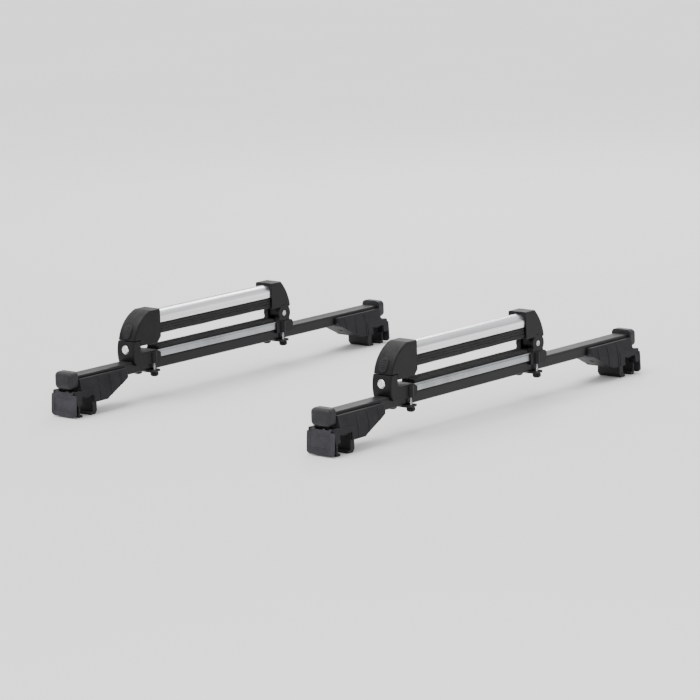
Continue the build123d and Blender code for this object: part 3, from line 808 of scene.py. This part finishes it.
class SKIRACK_OT_arms(bpy.types.Operator):
    """Finish the alloy rails of the arms and of the bases"""
    bl_idname = "skirack.arms"
    bl_label = "Alloy rails"

    def execute(self, context):
        paint_all("arm_rail", "arm")
        paint_all("base_rail", "base")
        return {"FINISHED"}


class SKIRACK_OT_latches(bpy.types.Operator):
    """Finish the latches, with ribs on each button and a ring round each lock"""
    bl_idname = "skirack.latches"
    bl_label = "Latches"

    def execute(self, context):
        paint_all("latch_head", "housing")
        paint_all("latch_base", "housing")
        paint_all("latch_button", "button")
        paint_all("lock_cylinder", "chrome")
        for stem in ("latch_hook", "hook_pin", "hook_spring", "striker_pin"):
            paint_all(stem, "steel")
        for end in ENDS:
            self.lock_ring(end)
            self.button_ribs(end)
        return {"FINISHED"}

    def lock_ring(self, end):
        """Chrome ring in the seat round a lock barrel."""
        low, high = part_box(f"lock_cylinder_{end}")
        centre = (high.x - 1.8 * MM, (low.y + high.y) / 2, (low.z + high.z) / 2)
        inner = (high.z - low.z) / 2 + 0.15 * MM

        def build(work):
            outline = [(0.0, inner), (0.0, inner + 1.3 * MM), (0.8 * MM, inner + 1.35 * MM),
                       (1.3 * MM, inner + 0.8 * MM), (1.3 * MM, inner + 0.3 * MM), (0.9 * MM, inner)]
            rings = []
            for s, r in outline + outline[:1]:
                rings += around(Vector(centre) + Vector((s, 0, 0)), (1, 0, 0),
                                lambda a, t, r=r: r, [0.0], 64)
            skin(work, rings, closed_ends=False)
            bmesh.ops.remove_doubles(work, verts=work.verts, dist=1e-7)

        mesh_piece(f"lock_ring_{end}", build, "rack", "chrome")

    def button_ribs(self, end):
        """Raised bars across a button, following its sloping face."""
        low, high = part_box(f"latch_button_{end}")
        y = (low.y + high.y) / 2
        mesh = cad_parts[f"latch_button_{end}"].data
        outer = [v.co for v in mesh.vertices if v.co.x > high.x - 22 * MM]

        def face_x(z):
            """Furthest x of the button's skin at that height."""
            band = [p for p in outer if abs(p.z - z) < 1.6 * MM]
            return max(p.x for p in band)

        spacing, sunk = 4.4, 0.35 * MM
        longest, shortening = 6.4, 0.7
        taper, thick, tip = 0.6, 0.75, 0.15

        def build(work):
            for step in range(-2, 3):
                z = (low.z + high.z) / 2 + step * spacing * MM
                reach = longest - shortening * abs(step)
                outline = ((-reach, tip), (-reach + taper, thick), (reach - taper, thick), (reach, tip))
                grip_bar(work, face_x(z) - sunk, y, z, outline)

        mesh_piece(f"button_ribs_{end}", build, f"button_{end}", "button")


class SKIRACK_OT_screws(bpy.types.Operator):
    """Make the screws of the housings and of the feet"""
    bl_idname = "skirack.screws"
    bl_label = "Screws"

    def execute(self, context):
        for node, axis, head_height, shank in (("housing_screws", 1, 1.6 * MM, 1.95 * MM),
                                               ("foot_screws", 2, 4.0 * MM, 2.45 * MM)):
            boxes = islands(node)

            def build(work, boxes=boxes, axis=axis, head_height=head_height, shank=shank):
                for low, high in boxes:
                    pan_screw(work, low, high, axis, -1.0, head_height, shank)

            made = mesh_piece(f"{node}_turned", build, "rack", "steel")
            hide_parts(node)
        return {"FINISHED"}


class SKIRACK_OT_hinges(bpy.types.Operator):
    """Finish the far housings and hinge caps, and make the hinges' rivets"""
    bl_idname = "skirack.hinges"
    bl_label = "Hinges"

    def execute(self, context):
        paint_all("hinge_base", "housing")
        paint_all("hinge_cap", "housing")
        for end in ENDS:
            made = mesh_piece(f"hinge_rivet_{end}", lambda work: self.rivet(work, end), "rack", "steel")
            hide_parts(f"hinge_pin_{end}")
        return {"FINISHED"}

    def rivet(self, work, end):
        """Pin with a rolled head at each end, dished in the middle."""
        low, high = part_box(f"hinge_pin_{end}")
        middle, half = (low + high) / 2, (high.y - low.y) / 2
        head = (high.z - low.z) / 2
        face = [(1.8, PIN_RADIUS), (1.75, head), (0.5, head), (0.15, head * 0.95), (0.0, head * 0.84),
                (0.0, head * 0.5), (0.35, head * 0.42), (0.6, head * 0.2), (0.65, 0.2 * MM)]
        right = [(half - depth * MM, radius) for depth, radius in face]
        left = [(-s, radius) for s, radius in reversed(right)]
        turned(work, middle, (0, 1, 0), left + right)


class SKIRACK_OT_clamps(bpy.types.Operator):
    """Make the threaded studs and lobed nuts of the carriers' clamps"""
    bl_idname = "skirack.clamps"
    bl_label = "Carrier clamps"

    def execute(self, context):
        paint_all("clamp_plates", "jaw")
        for end in ENDS:
            low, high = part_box(f"clamp_bolts_{end}")
            reach = 9.0 * MM
            places = [(x, y) for x in (low.x + reach, high.x - reach)
                      for y in (low.y + reach, high.y - reach)]
            studs = mesh_piece(f"clamp_studs_{end}", lambda work: self.studs(work, places, low, high),
                               "rack", "steel")
            nuts = mesh_piece(f"clamp_nuts_{end}", lambda work: self.nuts(work, places, low, reach),
                              "rack", "housing")
            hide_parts(f"clamp_bolts_{end}")
            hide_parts(f"clamp_bolts_{end}")
        return {"FINISHED"}

    def studs(self, work, places, low, high):
        sizes = bpy.context.scene.ski_rack.sizes
        for x, y in places:
            threaded(work, (x, y, 0), (0, 0, 1), low.z + 5 * MM, high.z - 2 * MM, M6_RADIUS,
                     sizes.thread_pitch, sizes.thread_depth)

    def nuts(self, work, places, low, reach):
        """Domed cap nuts with six finger hollows and a collar under the strap."""
        collar_start, hollow = 9.0, 2.0 * MM
        profile = [(0.0, 0.30), (0.25, 0.50), (0.9, 0.72), (2.0, 0.88), (3.4, 0.97), (5.0, 1.0),
                   (8.4, 1.0), (8.9, 0.96), (collar_start, 0.86), (10.4, 0.86)]
        for x, y in places:
            rings = []
            for s, share in profile:
                depth = hollow * share if s < collar_start else 0.0

                def radius_at(angle, _, share=share, depth=depth):
                    return reach * share - depth * max(0.0, math.cos(6 * angle)) ** 2
                rings += around((x, y, low.z + s * MM), (0, 0, 1), radius_at, [0.0], 72)
            skin(work, rings)


class SKIRACK_OT_clamp_screws(bpy.types.Operator):
    """Make the threaded socket screws of the feet"""
    bl_idname = "skirack.clamp_screws"
    bl_label = "Clamp screws"

    def execute(self, context):
        for corner in corners():
            made = mesh_piece(f"socket_screw_{corner}", lambda work: self.build(work, corner),
                              f"screw_{corner}", "steel")
            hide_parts(f"clamp_screw_{corner}")
        return {"FINISHED"}

    def build(self, work, corner):
        sizes = bpy.context.scene.ski_rack.sizes
        low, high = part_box(f"clamp_screw_{corner}")
        outward = 1.0 if low.x > 0 else -1.0
        tip = low.x if outward > 0 else high.x
        length = high.x - low.x
        centre = Vector((tip, (low.y + high.y) / 2, (low.z + high.z) / 2))
        axis = (outward, 0, 0)
        head, knurl, hexagon = 4.0 * MM, 0.25 * MM, 2.6 * MM
        head_radius = (high.z - low.z) / 2
        threaded(work, centre, axis, 0.0, length - head, M6_RADIUS, sizes.thread_pitch,
                 sizes.thread_depth)
        top = centre + Vector(axis) * (length - head)

        def knurled(angle, share):
            return (head_radius - knurl * max(0.0, math.cos(36 * angle))) * share

        rings = []
        for s, share in ((0.0, 0.92), (0.3, 1.0), (3.3, 1.0), (3.9, 0.93), (4.0, 0.86)):
            rings += around(top + Vector(axis) * s * MM, axis,
                            lambda a, t, k=share: knurled(a, k), [0.0], 144)

        def socket(angle, _):
            flat = (angle % (math.pi / 3)) - math.pi / 6
            return hexagon * math.cos(math.pi / 6) / math.cos(flat)

        for s in (4.0, 1.7):
            rings += around(top + Vector(axis) * s * MM, axis, socket, [0.0], 144)
        skin(work, rings)


class SKIRACK_OT_stage(bpy.types.Operator):
    """Set the floor, the soft lights and the camera"""
    bl_idname = "skirack.stage"
    bl_label = "Stage"

    def execute(self, context):
        settings = context.scene.ski_rack.stage
        self.floor(settings.floor_colour)
        self.sky()
        self.lights()
        self.camera(settings)
        return {"FINISHED"}

    def floor(self, colour):
        """A plain flat floor."""
        mesh = bpy.data.meshes.new("floor")
        work = bmesh.new()
        size = 14.0
        bmesh.ops.create_grid(work, x_segments=1, y_segments=1, size=size)
        work.to_mesh(mesh)
        work.free()
        finish = Finish("Pale floor")
        grain = finish.effect("grain", **{"Grain scale": 500.0, "Mottle scale": 1.2})
        finish.feed("Base Color", blend_colour(finish.tree, remap(finish.tree, grain["Mottle"], 0.3, 0.7),
                                               shade(colour, 0.985), shade(colour, 1.01)))
        finish.feed("Roughness", 0.75)
        mesh.materials.append(finish.done())
        floor = bpy.data.objects.new("floor", mesh)
        bpy.context.scene.collection.objects.link(floor)

    def sky(self):
        """Even white surroundings, a little darker low down."""
        world = bpy.data.worlds.new("Studio")
        bpy.context.scene.world = world
        world.use_nodes = True
        tree = world.node_tree
        up = put(tree, "ShaderNodeSeparateXYZ", {0: put(tree, "ShaderNodeTexCoord").outputs["Generated"]})
        level = remap(tree, up.outputs["Z"], 0.0, 0.8)
        colour = blend_colour(tree, level, (0.93, 0.94, 0.95, 1.0), (1.0, 1.0, 1.0, 1.0))
        background = tree.nodes["Background"]
        tree.links.new(colour, background.inputs["Color"])
        background.inputs["Strength"].default_value = 1.0

    def lamp(self, name, kind, place, size, power):
        """A lamp that faces the middle of the rack."""
        data = bpy.data.lights.new(name, kind)
        data.energy = power
        if kind == "SUN":
            data.angle = size
        else:
            data.shape = "DISK"
            data.size = size
        lamp = bpy.data.objects.new(name, data)
        lamp.location = place
        lamp.rotation_mode = "QUATERNION"
        towards = (CAD_BOX[0] + CAD_BOX[1]) / 2 - Vector(place)
        lamp.rotation_quaternion = towards.to_track_quat("-Z", "Y")
        bpy.context.scene.collection.objects.link(lamp)

    def lights(self):
        """A broad overhead key, a softbox to one side and a strip behind."""
        self.lamp("key", "SUN", (1.2, -0.4, 4.0), math.radians(50), 2.6)
        self.lamp("side softbox", "AREA", (2.6, 2.4, 2.2), 1.6, 22.0)
        self.lamp("rear strip", "AREA", (-3.0, -1.8, 2.6), 1.2, 40.0)

    def camera(self, settings):
        data = bpy.data.cameras.new("camera")
        data.lens = settings.lens
        data.sensor_width = 36.0
        data.clip_start, data.clip_end = 0.1, 100.0
        low, high = CAD_BOX
        centre = (low + high) / 2
        a, e = settings.azimuth, settings.elevation
        back = Vector((math.sin(a) * math.cos(e), -math.cos(a) * math.cos(e), math.sin(e)))
        camera = bpy.data.objects.new("camera", data)
        camera.location = centre + back * settings.distance
        camera.rotation_mode = "QUATERNION"
        aim = (-back).to_track_quat("-Z", "Y")
        camera.rotation_quaternion = aim @ Quaternion((0, 0, 1), settings.roll)
        bpy.context.scene.collection.objects.link(camera)
        bpy.context.scene.camera = camera


OPERATORS = (SKIRACK_OT_stage, SKIRACK_OT_bars, SKIRACK_OT_feet, SKIRACK_OT_rail_pads,
             SKIRACK_OT_base_pads, SKIRACK_OT_arm_pads, SKIRACK_OT_arms, SKIRACK_OT_latches,
             SKIRACK_OT_screws, SKIRACK_OT_hinges, SKIRACK_OT_clamps, SKIRACK_OT_clamp_screws)


class SKIRACK_PT_panel(bpy.types.Panel):
    """Lists the rack's pieces and settings"""
    bl_idname = "SKIRACK_PT_panel"
    bl_label = "Ski rack"
    bl_space_type = "VIEW_3D"
    bl_region_type = "UI"
    bl_category = "Ski rack"

    def draw(self, context):
        settings = context.scene.ski_rack
        for part in ("colours", "sizes", "wear", "stage"):
            box = self.layout.box()
            box.label(text=part.capitalize())
            section = getattr(settings, part)
            for name in section.__annotations__:
                box.prop(section, name)
        for operator in OPERATORS:
            self.layout.operator(operator.bl_idname)


CLASSES = (RackColours, RackSizes, RackWear, StageSettings, RackSettings, *OPERATORS, SKIRACK_PT_panel)


def register():
    for item in CLASSES:
        bpy.utils.register_class(item)
    bpy.types.Scene.ski_rack = PointerProperty(type=RackSettings)


def unregister():
    del bpy.types.Scene.ski_rack
    for item in reversed(CLASSES):
        bpy.utils.unregister_class(item)


def main():
    register()
    for operator in OPERATORS:
        name = operator.bl_idname.split(".")[1]
        getattr(bpy.ops.skirack, name)()


if __name__ == "__main__":
    main()
